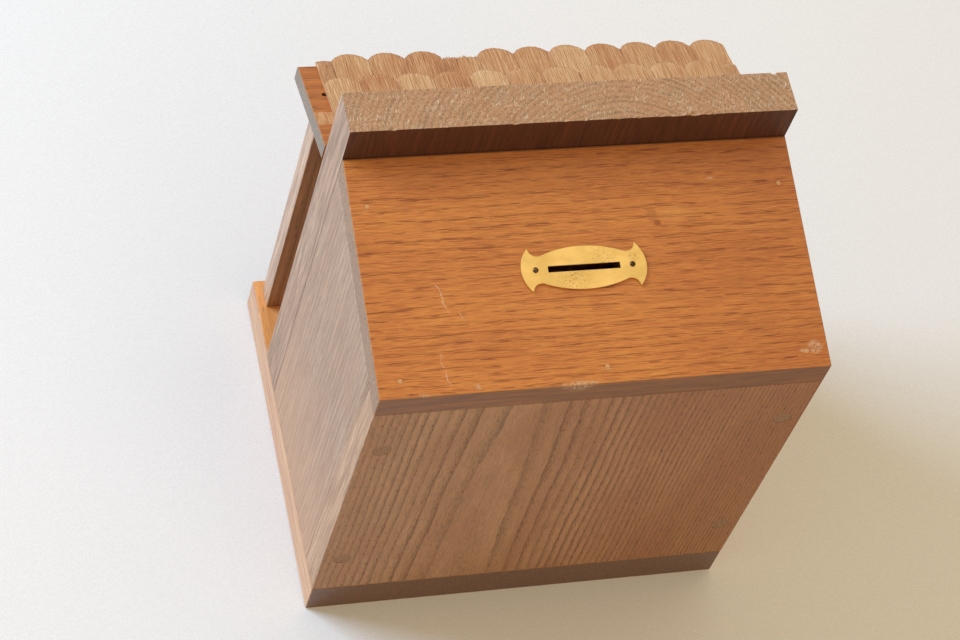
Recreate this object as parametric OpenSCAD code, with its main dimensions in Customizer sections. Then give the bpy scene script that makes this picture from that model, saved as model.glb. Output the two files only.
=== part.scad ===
// Wooden donation box: a sloped lid with a brass coin slot, and a shingled canopy behind it.
// The origin is the middle of the base board's underside. +Z is up and the front faces -Y.

/* [Box] */
// Width of the box and of its base board
box_w = 240; // [200:1:320]
// Depth of the box, from its front face to its back face
box_d = 150; // [140:1:200]
// Height of the front panel's top edge above the table, at the front face
front_h = 217; // [190:1:280]
// How far the back board stands above the lid
back_proud = 23.6; // [10:0.2:60]
// How far the base board runs past the rear board
base_lip = 5.5; // [2:0.5:20]
// Thickness of the base board
base_t = 24; // [15:0.5:30]
// Thickness of the front panel
front_t = 20; // [16:0.5:24]
// Thickness of each side panel
side_t = 20; // [18:0.5:26]
// Thickness of the back board
back_t = 24; // [15:0.5:30]

/* [Lid and coin slot] */
// Angle of the lid, rising from front to back
lid_slope = 11.5; // [5:0.5:14]
// Thickness of the lid board
lid_t = 15.4; // [10:0.1:20]
// Length of the coin slot in the brass plate
slot_l = 38.5; // [30:0.5:42]
// Width of the coin slot in the brass plate
slot_w = 3.2; // [2.5:0.1:5]
// How far the slot sits to the left of the middle
slot_shift = 3.4; // [0:0.1:10]
// Distance from the lid's front edge to the slot, along the slope
slot_s = 62; // [50:0.5:80]
// Thickness of the brass slot plate
plate_t = 1.2; // [0.8:0.1:2]
// Width of the slot sawn in the lid under the plate
slot_cut_w = 10; // [8:0.5:12]

/* [Canopy] */
// Open gap between the box's back and the canopy board
canopy_gap = 2; // [1:0.5:5]
// How far the canopy board reaches past the rear board, measured level
canopy_eave = 22.5; // [10:0.5:40]
// Distance from the back board's top down to the canopy board's top front edge
canopy_drop = 50; // [20:1:80]
// Slope of the canopy, falling to the rear
canopy_slope = 17; // [10:0.5:25]
// Thickness of the canopy board
canopy_t = 10.8; // [8:0.1:16]
// Thickness of the rear board that carries the canopy
rear_t = 12.5; // [10:0.5:18]
// Open space between the box's back and the rear board
rear_gap = 32; // [20:1:40]
// How far the rear board stops short of the base at each end
rear_inset = 5; // [2:0.5:20]

/* [Shingles] */
// Width of one shingle
shingle_w = 20.4; // [15:0.1:30]
// Thickness of one shingle
shingle_t = 2; // [1.5:0.1:3]
// Distance from the canopy's front edge to the heads of both courses, along the slope
shingle_head = 3; // [1:0.5:10]
// How far the lower course's tips hang past the canopy board
eave_hang = 8; // [2:0.5:12]
// Length of the lower course that the upper one leaves open
reveal = 21.5; // [15:0.5:30]
// Depth of the rounded tip of a full shingle
tip_depth = 6; // [3:0.5:8]
// Bare canopy board left of the shingles
bare_end = 10; // [0:0.5:20]
// How far the shingles pass the canopy board's right end
end_hang = 2; // [0:0.5:4]

/* [Side door] */
// Width of the door leaf, along the side
door_w = 76; // [60:1:80]
// Height of the door leaf
door_h = 106; // [96:1:130]
// Thickness of the door leaf
door_t = 12; // [10:0.5:14]
// Height of the rail under the doorway
sill_h = 16; // [13:1:30]
// Gap round the door leaf
door_gap = 1; // [1:0.1:2]
// Width of the stop that the closed door rests on
stop_w = 4; // [3:0.5:8]
// Gap between the closed door and its stop
stop_gap = 0.3; // [0.3:0.1:1]

/* [Door hinges] */
// Height of one butt hinge
hinge_h = 25; // [20:1:32]
// Distance from each end of the door to the nearest hinge end
hinge_inset = 6; // [3:1:15]
// Width of one hinge leaf, from the pin's axis
leaf_w = 9.5; // [8:0.5:11]
// Thickness of a hinge leaf
leaf_t = 1; // [0.8:0.1:1.2]
// Radius of the hinge knuckle
knuckle_r = 1.8; // [1.6:0.1:2]
// Radius of the hinge pin
hinge_pin_r = 1; // [0.8:0.1:1.1]
// Distance of the pin's axis in front of the door's face
pin_proud = 2.1; // [2:0.1:2.5]

/* [Lock] */
// Diameter of the lock's barrel
barrel_d = 16; // [14:0.5:18]
// How far the lock's front rim covers the wood round its barrel
rim_cover = 1.5; // [1:0.5:3]
// Thickness of the lock's front rim
rim_t = 1.6; // [1.2:0.1:2.5]
// Diameter of the turning plug
plug_d = 11; // [9:0.5:12]
// Distance of the lock's axis from the door's opening edge
lock_back = 19; // [17:0.5:24]
// Reach of the cam from the lock's axis
cam_l = 25; // [23:0.5:30]
// Width of the cam
cam_w = 12; // [10:0.5:14]
// Thickness of the cam
cam_t = 2; // [1.5:0.1:3]

/* [Fixings] */
// Diameter of the wooden plugs over the front screws
wood_plug_d = 10; // [8:0.5:12]
// Depth of the wooden plugs
wood_plug_l = 8; // [5:0.5:9]
// Distance of the front screws from the box's sides
screw_inset = 11; // [9:0.5:12]
// Diameter of the big wood screws
screw_d = 4; // [3:0.5:5]
// Diameter of the nails
nail_d = 1.8; // [1.4:0.1:2.4]
// Length of the nails
nail_l = 32; // [28:1:36]

/* [Clearances] */
// Radial clearance of a turning pin or plug
run_fit = 0.05; // [0.02:0.01:0.09]
// Gap along the axis between turning pieces
end_play = 0.3; // [0.3:0.1:0.8]

/* [Hidden] */
$fn = 96;
right = box_w / 2;
left = -right;
base_d = box_d + rear_gap + rear_t + base_lip;
front = -base_d / 2;
back = front + box_d;
inner_front = front + front_t;
inner_back = back - back_t;
rise = tan(lid_slope);
lid_v = lid_t / cos(lid_slope);
back_h = front_h + (box_d - back_t) * rise + lid_v + back_proud;
slot_x = -slot_shift;
slot_cut_l = slot_l + 4;

// Brass plate: half sizes of its middle, waists and pointed ends
plate_half_l = slot_l / 2 + 14.4;
plate_tip_x = slot_l / 2 + 9.4;
plate_tip_y = 12;
plate_waist_x = slot_l / 2 + 3.7;
plate_waist_y = 7.4;
plate_mid_y = 11.8;
plate_pin_x = slot_l / 2 + 6.7;
plate_pin_r = 0.8;
plate_pin_head_r = 1.5;
plate_pin_l = 10;

canopy_y = back + canopy_gap;
canopy_z = back_h - canopy_drop;
canopy_d = rear_gap - canopy_gap + rear_t + canopy_eave;
canopy_fall = tan(canopy_slope);
canopy_v = canopy_t / cos(canopy_slope);
canopy_s = canopy_d / cos(canopy_slope);
rear_front = back + rear_gap;
rear_back = rear_front + rear_t;

shingle_x0 = left + bare_end;
shingle_x1 = right + end_hang;
first_joint = shingle_x0 + 8.5;
tip_r = (pow(shingle_w / 2, 2) + pow(tip_depth, 2)) / (2 * tip_depth);
lower_s = canopy_s + eave_hang - tip_depth;
upper_s = lower_s - reveal;
tip_facets = 6;
side_joint = 0.15;
broken_shingle = 4;
// The broken tip: how far along the width, and how far past the joints' level
splinters = [
    [0.05, -1.5], [0.2, -2.6], [0.45, -1.4], [0.6, -2.2], [0.75, -1.0], [0.86, 1.6], [0.93, -0.4]
];

way_z0 = base_t + sill_h;
way_z1 = way_z0 + door_h + 2 * door_gap;
way_y0 = (inner_front + inner_back) / 2 - door_w / 2 - door_gap;
way_y1 = way_y0 + door_w + 2 * door_gap;
door_z0 = way_z0 + door_gap;
door_z1 = way_z1 - door_gap;
door_y0 = way_y0 + door_gap;
hinge_x = right + pin_proud;
hinge_y = way_y1 - door_gap / 2;
door_y1 = hinge_y - door_gap / 2;
swing_r = hinge_y - door_y0;
door_bevel = swing_r - sqrt(pow(swing_r, 2) - pow(door_t + pin_proud, 2)) + 0.1;
hinge_z = [door_z0 + hinge_inset + hinge_h / 2, door_z1 - hinge_inset - hinge_h / 2];
knuckle_l = (hinge_h - 2 * end_play) / 3;
leaf_clear = 0.4;
hinge_screw_y = leaf_w * 0.62;
hinge_screw_z = hinge_h * 0.3;
hinge_screw_d = 2;
hinge_screw_head_d = 4;
hinge_screw_l = 9;

lock_y = door_y0 + lock_back;
lock_z = (door_z0 + door_z1) / 2;
cam_gap = 0.6;
barrel_l = side_t + cam_gap - end_play;
rim_d = barrel_d + 2 * rim_cover;
plug_head_d = plug_d + 2;
plug_head_t = 1.4;
drive_w = 7;
nut_w = barrel_d + 6;
nut_t = 4;
cam_screw_head_d = 8;
cam_screw_head_t = 2.5;
cam_screw_l = 8;
keyway_l = 7;
keyway_w = 1.8;
keyway_depth = 8;

screw_head_d = 2 * screw_d;
front_screw_l = 24;
back_screw_l = 34;
base_screw_l = base_t + 11;
low_screw_z = base_t + 35;
high_screw_z = front_h - 37;
back_screw_z = [base_t + 70, front_h - 17];
nail_head_d = 3;
nail_head_t = 0.8;
lid_nail_s = 9;
lid_nail_back_s = 102;
canopy_nail_s = (rear_back - canopy_y - 1.4) / cos(canopy_slope);
canopy_nail_sink = 0.8;
canopy_nail_x = [left + 9.2, left + 84, right - 84, right - 9.2];
cut_past = 1;

// Height of the lid's underside at a place y
function under_lid(y) = front_h + (y - front) * rise;

// Height of the canopy board's underside at a place y
function under_canopy(y) = canopy_z - canopy_v - (y - canopy_y) * canopy_fall;

// A board of constant section: points are [y, z], and it runs from x0 to x1
module section_board(x0, x1, points) {
    translate([x0, 0, 0])
        rotate([90, 0, 90])
            linear_extrude(x1 - x0)
                polygon(points);
}

// Puts its children on the lid's top: x along the lid, s up the slope, z square to it
module on_lid(x, s) {
    translate([x, front, front_h + lid_v])
        rotate([lid_slope, 0, 0])
            translate([0, s, 0])
                children();
}

// Puts its children on the canopy board's top: s runs down the slope from its front edge
module on_canopy(x, s) {
    translate([x, canopy_y, canopy_z])
        rotate([-canopy_slope, 0, 0])
            translate([0, s, 0])
                children();
}

// Puts its children on the lock's axis, with z pointing out of the door's face
module at_lock() {
    translate([right, lock_y, lock_z])
        rotate([0, 90, 0])
            children();
}

// ---- Fixings ----

// A countersunk screw that points down, its head's face at z = 0
module screw_shape(l, d, head_d) {
    sink = (head_d - d) / 2;
    rotate_extrude()
        polygon([[0, 0], [head_d / 2, 0], [d / 2, -sink], [d / 2, -l + d], [0, -l]]);
}

module slotted_screw(l, d, head_d) {
    slot = head_d * 0.14;
    difference() {
        screw_shape(l, d, head_d);
        translate([-head_d, -slot / 2, -slot])
            cube([2 * head_d, slot, 2 * slot]);
    }
}

// A nail that points down, its head's face at z = 0
module nail_shape() {
    rotate_extrude()
        polygon([
            [0, 0], [nail_head_d / 2, 0], [nail_head_d / 2, -nail_head_t], [nail_d / 2, -nail_head_t],
            [nail_d / 2, -nail_l + nail_d], [0, -nail_l]
        ]);
}

module at_front_screws() {
    for (x = [left + screw_inset, right - screw_inset], z = [low_screw_z, high_screw_z])
        translate([x, front + wood_plug_l, z])
            rotate([90, 0, 0])
                children();
}

module at_back_screws() {
    for (x = [left + side_t / 2, right - side_t / 2], z = back_screw_z)
        translate([x, back, z])
            rotate([-90, 0, 0])
                children();
}

module at_base_screws() {
    middle = (inner_front + inner_back) / 2;
    spots = [
        [-box_w / 4, front + front_t / 2], [box_w / 4, front + front_t / 2],
        [left + side_t / 2, middle], [right - side_t / 2, middle],
        [-box_w / 4, back - back_t / 2], [box_w / 4, back - back_t / 2],
        [-box_w / 4, rear_front + rear_t / 2], [box_w / 4, rear_front + rear_t / 2]
    ];
    for (p = spots)
        translate([p[0], p[1], 0])
            rotate([180, 0, 0])
                children();
}

module at_lid_nails() {
    for (x = [left + lid_nail_s + 3, 0, right - lid_nail_s - 3])
        on_lid(x, lid_nail_s)
            children();
    for (x = [left + lid_nail_s, right - lid_nail_s])
        on_lid(x, lid_nail_back_s)
            children();
}

module at_canopy_nails() {
    for (x = canopy_nail_x)
        on_canopy(x, canopy_nail_s)
            children();
}

module at_hinge_screws(side) {
    for (z = hinge_z, dz = [-hinge_screw_z, hinge_screw_z])
        translate([right + leaf_t, hinge_y + side * hinge_screw_y, z + dz])
            rotate([0, 90, 0])
                children();
}

// Every hole that the screws, plugs and nails need, so that each board is cut by the same set
module fixing_holes() {
    at_front_screws() {
        screw_shape(front_screw_l, screw_d, screw_head_d);
        cylinder(wood_plug_l + cut_past, d = wood_plug_d);
    }
    at_back_screws() screw_shape(back_screw_l, screw_d, screw_head_d);
    at_base_screws() screw_shape(base_screw_l, screw_d, screw_head_d);
    at_lid_nails() nail_shape();
    at_canopy_nails()
        translate([0, 0, -canopy_nail_sink]) {
            nail_shape();
            cylinder(canopy_nail_sink + cut_past, d = nail_head_d);
        }
}

module front_screws() {
    color("silver")
        at_front_screws()
            slotted_screw(front_screw_l, screw_d, screw_head_d);
}

module front_plugs() {
    color("sienna")
        at_front_screws()
            cylinder(wood_plug_l, d = wood_plug_d);
}

module back_screws() {
    color("silver")
        at_back_screws()
            slotted_screw(back_screw_l, screw_d, screw_head_d);
}

module base_screws() {
    color("silver")
        at_base_screws()
            slotted_screw(base_screw_l, screw_d, screw_head_d);
}

module lid_nails() {
    color("burlywood")
        at_lid_nails()
            nail_shape();
}

module canopy_nails() {
    color("dimgray")
        at_canopy_nails()
            translate([0, 0, -canopy_nail_sink])
                nail_shape();
}

// ---- Boards of the box ----

module base_board() {
    color("peru")
        difference() {
            translate([left, front, 0])
                cube([box_w, base_d, base_t]);
            fixing_holes();
        }
}

module front_panel() {
    color("rosybrown")
        difference() {
            section_board(left, right, [
                [front, base_t], [inner_front, base_t],
                [inner_front, under_lid(inner_front)], [front, under_lid(front)]
            ]);
            fixing_holes();
        }
}

module side_blank(x0) {
    difference() {
        section_board(x0, x0 + side_t, [
            [inner_front, base_t], [inner_back, base_t],
            [inner_back, under_lid(inner_back)], [inner_front, under_lid(inner_front)]
        ]);
        fixing_holes();
    }
}

module left_side_panel() {
    color("tan")
        side_blank(left);
}

// The right side is a frame: the doorway has a shallow step all round that stops the door
module right_side_panel() {
    color("tan")
        difference() {
            side_blank(right - side_t);
            translate([right - door_t - stop_gap, way_y0, way_z0])
                cube([side_t, way_y1 - way_y0, way_z1 - way_z0]);
            translate([right - side_t - cut_past, way_y0 + stop_w, way_z0 + stop_w])
                cube([side_t, way_y1 - way_y0 - 2 * stop_w, way_z1 - way_z0 - 2 * stop_w]);
            at_hinge_screws(1)
                screw_shape(hinge_screw_l, hinge_screw_d, hinge_screw_head_d);
        }
}

module back_board() {
    color("saddlebrown")
        difference() {
            translate([left, inner_back, base_t])
                cube([box_w, back_t, back_h - base_t]);
            fixing_holes();
        }
}

module slot_lid() {
    color("chocolate")
        difference() {
            section_board(left, right, [
                [front, under_lid(front)], [inner_back, under_lid(inner_back)],
                [inner_back, under_lid(inner_back) + lid_v], [front, under_lid(front) + lid_v]
            ]);
            on_lid(slot_x, slot_s)
                translate([-slot_cut_l / 2, -slot_cut_w / 2, -2 * lid_t])
                    cube([slot_cut_l, slot_cut_w, 3 * lid_t]);
            at_plate_pins() plate_pin_shank();
            fixing_holes();
        }
}

// ---- Brass slot plate ----

module at_plate_pins() {
    for (side = [-1, 1])
        on_lid(slot_x + side * plate_pin_x, slot_s)
            children();
}

module plate_pin_shank() {
    translate([0, 0, plate_t - plate_pin_l])
        cylinder(plate_pin_l, r = plate_pin_r);
}

// Points along an arc from angle a0 to angle a1, leaving out its first point
function arc(x, y, r, a0, a1, steps) = [
    for (i = [1 : steps])
        let (a = a0 + (a1 - a0) * i / steps)
        [x + r * cos(a), y + r * sin(a)]
];

// Outline: a long oval whose two ends flare into pointed fish tails
module plate_outline() {
    mid_sag = plate_mid_y - plate_waist_y;
    mid_r = (pow(plate_waist_x, 2) + pow(mid_sag, 2)) / (2 * mid_sag);
    mid_turn = asin(plate_waist_x / mid_r);
    end_sag = plate_half_l - plate_tip_x;
    end_r = (pow(plate_tip_y, 2) + pow(end_sag, 2)) / (2 * end_sag);
    end_turn = asin(plate_tip_y / end_r);
    bite_x = plate_waist_x + 1;
    tip_rise = plate_tip_y - plate_waist_y;
    bite_r = (pow(plate_tip_x - bite_x, 2) + pow(tip_rise, 2)) / (2 * tip_rise);
    bite_turn = asin((plate_tip_x - bite_x) / bite_r);
    quarter = concat(
        [[plate_half_l, 0]],
        arc(plate_half_l - end_r, 0, end_r, 0, end_turn, 6),
        arc(bite_x, plate_waist_y + bite_r, bite_r, bite_turn - 90, -90, 6),
        [[plate_waist_x, plate_waist_y]],
        arc(0, plate_mid_y - mid_r, mid_r, 90 - mid_turn, 90, 10)
    );
    half = concat(
        quarter,
        [for (i = [len(quarter) - 2 : -1 : 0]) [-quarter[i][0], quarter[i][1]]]
    );
    polygon(concat(half, [for (i = [len(half) - 2 : -1 : 1]) [half[i][0], -half[i][1]]]));
}

module slot_plate() {
    color("gold")
        on_lid(slot_x, slot_s)
            linear_extrude(plate_t)
                difference() {
                    plate_outline();
                    square([slot_l, slot_w], center = true);
                    for (side = [-1, 1])
                        translate([side * plate_pin_x, 0]) circle(plate_pin_r);
                }
}

module slot_plate_pins() {
    color("dimgray")
        at_plate_pins() {
            plate_pin_shank();
            translate([0, 0, plate_t])
                intersection() {
                    translate([0, 0, -plate_pin_head_r * 0.35]) sphere(plate_pin_head_r * 1.06);
                    cylinder(2 * plate_pin_head_r, r = plate_pin_head_r);
                }
        }
}

// ---- Canopy ----

module rear_board() {
    color("peru")
        difference() {
            section_board(left + rear_inset, right - rear_inset, [
                [rear_front, base_t], [rear_back, base_t],
                [rear_back, under_canopy(rear_back)], [rear_front, under_canopy(rear_front)]
            ]);
            fixing_holes();
        }
}

module canopy_board() {
    canopy_back = canopy_y + canopy_d;
    color("chocolate")
        difference() {
            section_board(left, right, [
                [canopy_y, under_canopy(canopy_y)], [canopy_back, under_canopy(canopy_back)],
                [canopy_back, under_canopy(canopy_back) + canopy_v], [canopy_y, canopy_z]
            ]);
            fixing_holes();
        }
}

// Tip of a shingle between two joints: straight cuts along an arc, so narrow ones stay shallow
function round_tip(x0, x1, s) = let (
    half = (x1 - x0) / 2,
    turn = asin(half / tip_r),
    base = sqrt(pow(tip_r, 2) - pow(half, 2))
) [
    for (i = [0 : tip_facets])
        let (a = turn * (1 - 2 * i / tip_facets))
        [(x0 + x1) / 2 + tip_r * sin(a), s + tip_r * cos(a) - base]
];

function broken_tip(x0, x1, s) = [
    [x1, s],
    for (i = [len(splinters) - 1 : -1 : 0])
        [x0 + (x1 - x0) * splinters[i][0], s + splinters[i][1]],
    [x0, s]
];

// One course: shingles side by side from the strip's left end to its right end
module shingle_course(joint, s, lift, broken) {
    count = ceil((shingle_x1 - joint) / shingle_w);
    edges = [
        shingle_x0,
        for (i = [0 : count - 1]) joint + i * shingle_w,
        shingle_x1
    ];
    on_canopy(0, 0)
        translate([0, 0, lift])
            for (i = [0 : len(edges) - 2])
                let (x0 = edges[i] + side_joint, x1 = edges[i + 1] - side_joint)
                if (x1 - x0 > 1)
                    linear_extrude(shingle_t)
                        polygon(concat(
                            [[x0, shingle_head], [x1, shingle_head]],
                            i == broken ? broken_tip(x0, x1, s) : round_tip(x0, x1, s)
                        ));
}

module lower_shingles() {
    color("burlywood")
        shingle_course(first_joint, lower_s, 0, broken_shingle);
}

module upper_shingles() {
    color("burlywood")
        shingle_course(first_joint + shingle_w / 2, upper_s, shingle_t, -1);
}

// ---- Side door ----

module side_door() {
    color("tan")
        difference() {
            translate([0, 0, door_z0])
                linear_extrude(door_z1 - door_z0)
                    polygon([
                        [right, door_y0], [right, door_y1],
                        [right - door_t, door_y1], [right - door_t, door_y0 + door_bevel]
                    ]);
            at_lock()
                translate([0, 0, -2 * door_t])
                    cylinder(4 * door_t, d = barrel_d);
            at_hinge_screws(-1)
                screw_shape(hinge_screw_l, hinge_screw_d, hinge_screw_head_d);
        }
}

// One hinge leaf lying on the face: side is 1 for the frame's leaf and -1 for the door's
module hinge_leaf(side, knuckles, bore_r) {
    pitch = knuckle_l + end_play;
    plate_y = knuckle_r + leaf_clear;
    difference() {
        union() {
            translate([right, side > 0 ? hinge_y + plate_y : hinge_y - leaf_w, -hinge_h / 2])
                cube([leaf_t, leaf_w - plate_y, hinge_h]);
            for (k = knuckles)
                translate([0, 0, k * pitch - knuckle_l / 2]) {
                    translate([hinge_x, hinge_y, 0])
                        cylinder(knuckle_l, r = knuckle_r);
                    translate([right, side > 0 ? hinge_y : hinge_y - plate_y, 0])
                        cube([leaf_t, plate_y, knuckle_l]);
                }
        }
        translate([hinge_x, hinge_y, -hinge_h])
            cylinder(2 * hinge_h, r = bore_r);
        for (dz = [-hinge_screw_z, hinge_screw_z])
            translate([right + leaf_t, hinge_y + side * hinge_screw_y, dz])
                rotate([0, 90, 0])
                    screw_shape(hinge_screw_l, hinge_screw_d, hinge_screw_head_d);
    }
}

module hinge_frame_leaves() {
    color("goldenrod")
        for (z = hinge_z)
            translate([0, 0, z])
                hinge_leaf(1, [-1, 1], hinge_pin_r);
}

module hinge_door_leaves() {
    color("goldenrod")
        for (z = hinge_z)
            translate([0, 0, z])
                hinge_leaf(-1, [0], hinge_pin_r + run_fit);
}

module hinge_pins() {
    color("darkgoldenrod")
        for (z = hinge_z)
            translate([hinge_x, hinge_y, z - hinge_h / 2])
                cylinder(hinge_h, r = hinge_pin_r);
}

module hinge_frame_screws() {
    color("gold")
        at_hinge_screws(1)
            slotted_screw(hinge_screw_l, hinge_screw_d, hinge_screw_head_d);
}

module hinge_door_screws() {
    color("gold")
        at_hinge_screws(-1)
            slotted_screw(hinge_screw_l, hinge_screw_d, hinge_screw_head_d);
}

// ---- Cam lock ----

module lock_barrel() {
    color("silver")
        at_lock()
            difference() {
                union() {
                    cylinder(rim_t, d = rim_d);
                    translate([0, 0, -barrel_l]) cylinder(barrel_l, d = barrel_d);
                }
                translate([0, 0, -2 * barrel_l]) cylinder(3 * barrel_l, r = plug_d / 2 + run_fit);
                translate([0, 0, rim_t - plug_head_t - 2 * run_fit])
                    cylinder(rim_t, r = plug_head_d / 2 + run_fit);
            }
}

module lock_nut() {
    color("gainsboro")
        at_lock()
            translate([0, 0, -door_t - nut_t])
                difference() {
                    cylinder(nut_t, d = nut_w / cos(30), $fn = 6);
                    translate([0, 0, -nut_t]) cylinder(3 * nut_t, d = barrel_d);
                }
}

module cam_screw_shank() {
    translate([0, 0, -barrel_l - end_play - cam_t])
        cylinder(cam_screw_l, d = screw_d);
}

// The plug turns in the barrel; its inner end is a square that drives the cam
module lock_plug() {
    color("lightgray")
        at_lock()
            difference() {
                union() {
                    translate([0, 0, -barrel_l]) cylinder(barrel_l + rim_t - plug_head_t, d = plug_d);
                    translate([0, 0, rim_t - plug_head_t]) cylinder(plug_head_t, d = plug_head_d);
                    translate([-drive_w / 2, -drive_w / 2, -barrel_l - end_play - cam_t])
                        cube([drive_w, drive_w, cam_t + end_play + 1]);
                }
                translate([-keyway_l / 2, -keyway_w / 2, rim_t - keyway_depth])
                    cube([keyway_l, keyway_w, 2 * keyway_depth]);
                cam_screw_shank();
            }
}

// At rest the cam stands upright, clear of the frame; a quarter turn puts it behind the frame
module lock_cam() {
    color("gray")
        at_lock()
            translate([0, 0, -barrel_l - end_play - cam_t])
                linear_extrude(cam_t)
                    difference() {
                        union() {
                            circle(d = barrel_d);
                            translate([cam_w / 2 - cam_l, 0]) circle(d = cam_w);
                            translate([cam_w / 2 - cam_l, -cam_w / 2]) square([cam_l - cam_w / 2, cam_w]);
                        }
                        square(drive_w, center = true);
                    }
}

module cam_screw() {
    color("silver")
        at_lock() {
            cam_screw_shank();
            translate([0, 0, -barrel_l - end_play - cam_t - cam_screw_head_t])
                cylinder(cam_screw_head_t, d = cam_screw_head_d);
        }
}

base_board();
front_panel();
left_side_panel();
right_side_panel();
back_board();
slot_lid();
slot_plate();
slot_plate_pins();
lid_nails();
front_screws();
front_plugs();
back_screws();
base_screws();
rear_board();
canopy_board();
canopy_nails();
lower_shingles();
upper_shingles();
side_door();
hinge_frame_leaves();
hinge_door_leaves();
hinge_pins();
hinge_frame_screws();
hinge_door_screws();
lock_barrel();
lock_nut();
lock_plug();
lock_cam();
cam_screw();
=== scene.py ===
# %% [markdown]
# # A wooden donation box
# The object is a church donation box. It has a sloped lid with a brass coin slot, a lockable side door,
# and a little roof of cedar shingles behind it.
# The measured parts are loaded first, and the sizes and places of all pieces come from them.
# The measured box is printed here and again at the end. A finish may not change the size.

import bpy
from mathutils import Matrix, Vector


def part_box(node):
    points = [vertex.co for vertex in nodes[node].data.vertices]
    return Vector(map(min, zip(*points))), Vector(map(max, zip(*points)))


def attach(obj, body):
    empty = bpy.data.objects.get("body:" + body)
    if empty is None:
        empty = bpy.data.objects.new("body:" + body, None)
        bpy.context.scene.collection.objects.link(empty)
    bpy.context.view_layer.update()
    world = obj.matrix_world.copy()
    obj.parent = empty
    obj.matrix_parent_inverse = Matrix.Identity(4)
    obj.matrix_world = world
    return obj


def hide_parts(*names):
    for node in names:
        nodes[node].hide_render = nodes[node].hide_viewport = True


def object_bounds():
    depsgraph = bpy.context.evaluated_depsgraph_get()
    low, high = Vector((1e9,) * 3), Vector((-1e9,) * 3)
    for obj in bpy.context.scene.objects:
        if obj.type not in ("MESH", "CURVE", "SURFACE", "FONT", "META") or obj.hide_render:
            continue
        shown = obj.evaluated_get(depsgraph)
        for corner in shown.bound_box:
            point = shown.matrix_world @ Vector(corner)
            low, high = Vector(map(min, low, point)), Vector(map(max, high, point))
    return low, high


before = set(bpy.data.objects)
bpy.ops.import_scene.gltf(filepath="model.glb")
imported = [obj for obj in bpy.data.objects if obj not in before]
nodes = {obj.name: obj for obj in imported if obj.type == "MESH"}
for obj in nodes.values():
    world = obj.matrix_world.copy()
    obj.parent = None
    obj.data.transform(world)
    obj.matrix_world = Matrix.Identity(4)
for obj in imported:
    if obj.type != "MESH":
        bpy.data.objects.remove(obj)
measured_box = [list(corner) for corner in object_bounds()]
print(len(nodes), "parts, from", measured_box[0], "to", measured_box[1])

# %% [markdown]
# ## Helpers
# Colours are written as a paint chart gives them, and Blender mixes light in linear numbers, so one
# function turns a chart value into a linear one. Another adds a node, whose inputs are given by their
# order or by their name. Patterns are worked out in millimetres, because that is how a joiner reads wood.

# %% Colours and nodes
import bpy, bmesh, math, random
from mathutils import Matrix, Vector, noise

MM = 0.001
MIX, RAMP, NOISE = "ShaderNodeMix", "ShaderNodeValToRGB", "ShaderNodeTexNoise"
RANGE, COMBINE, SEPARATE = "ShaderNodeMapRange", "ShaderNodeCombineXYZ", "ShaderNodeSeparateXYZ"


def colour(chart):
    """The linear colour of a chart value such as 'c68142'."""
    parts = [int(chart[i:i + 2], 16) / 255 for i in (0, 2, 4)]
    linear = [c / 12.92 if c <= 0.04045 else ((c + 0.055) / 1.055) ** 2.4 for c in parts]
    return (*linear, 1.0)


def plug(tree, node, inputs):
    """Sets inputs of a node. A value is a number, or another node's output to link."""
    for key, value in inputs.items():
        if isinstance(value, bpy.types.NodeSocket):
            tree.links.new(value, node.inputs[key])
        elif value is not None:
            node.inputs[key].default_value = value


def add(tree, kind, *values, out=0, named=None, stops=None, **settings):
    """Adds a node with its settings and inputs, and gives back one of its outputs.
    A kind in capitals, such as "ADD", is a sum."""
    if kind.isupper():
        kind, settings = "ShaderNodeMath", {"operation": kind}
    node = tree.nodes.new(kind)
    for name, setting in settings.items():
        setattr(node, name, setting)
    plug(tree, node, dict(enumerate(values)) | (named or {}))
    for i, (place, chart) in enumerate(stops or []):
        elements = node.color_ramp.elements
        stop = elements[i] if i < 2 else elements.new(place)
        stop.position, stop.color = place, colour(chart)
    return node.outputs[out]


def new_material(name):
    """An empty material and its node tree, with the surface shader that the finish is plugged into."""
    material = bpy.data.materials.new(name)
    material.use_nodes = True
    return material, material.node_tree, material.node_tree.nodes["Principled BSDF"]


def put(name, data):
    """Puts an object with this mesh, camera or light into the scene, at the origin."""
    thing = bpy.data.objects.new(name, data)
    bpy.context.scene.collection.objects.link(thing)
    return thing


print("brass reads as", [round(c, 3) for c in colour("d9b45f")])

# %% [markdown]
# ## The camera
# A plain camera looks down at the front left corner, rolled a little as if held in the hand. It is placed
# from the middle of the object, with a fairly long lens, so that the box's edges stay nearly parallel.

# %% Camera
low, high = (Vector(corner) for corner in measured_box)
middle = (low + high) / 2
aim = middle + Vector((-0.0507, -0.0518, 0.0590))
back_off = Vector((-0.2787, -0.4836, 0.8297))
distance = 1.528
camera_right = Vector((0.9581, -0.2001, 0.2051))
camera_up = back_off.cross(camera_right).normalized()
camera_right = camera_up.cross(back_off).normalized()
camera = put("camera", bpy.data.cameras.new("camera"))
camera.data.lens, camera.data.sensor_width = 111.0, 36.0
camera.data.clip_start, camera.data.clip_end = 0.05, 20
turned = Matrix((camera_right, camera_up, back_off.normalized())).transposed().to_4x4()
camera.matrix_world = Matrix.Translation(aim + back_off.normalized() * distance) @ turned
bpy.context.scene.camera = camera
print("camera at", [round(v, 3) for v in camera.matrix_world.translation])

# %% [markdown]
# ## Table and daylight
# The box stands on a plain pale sheet. The light is soft daylight from a big window behind and to the left,
# so the left side and the lid are bright and the front is a little darker.
# Area lights give soft shadows, and a pale sky fills them.

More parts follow.
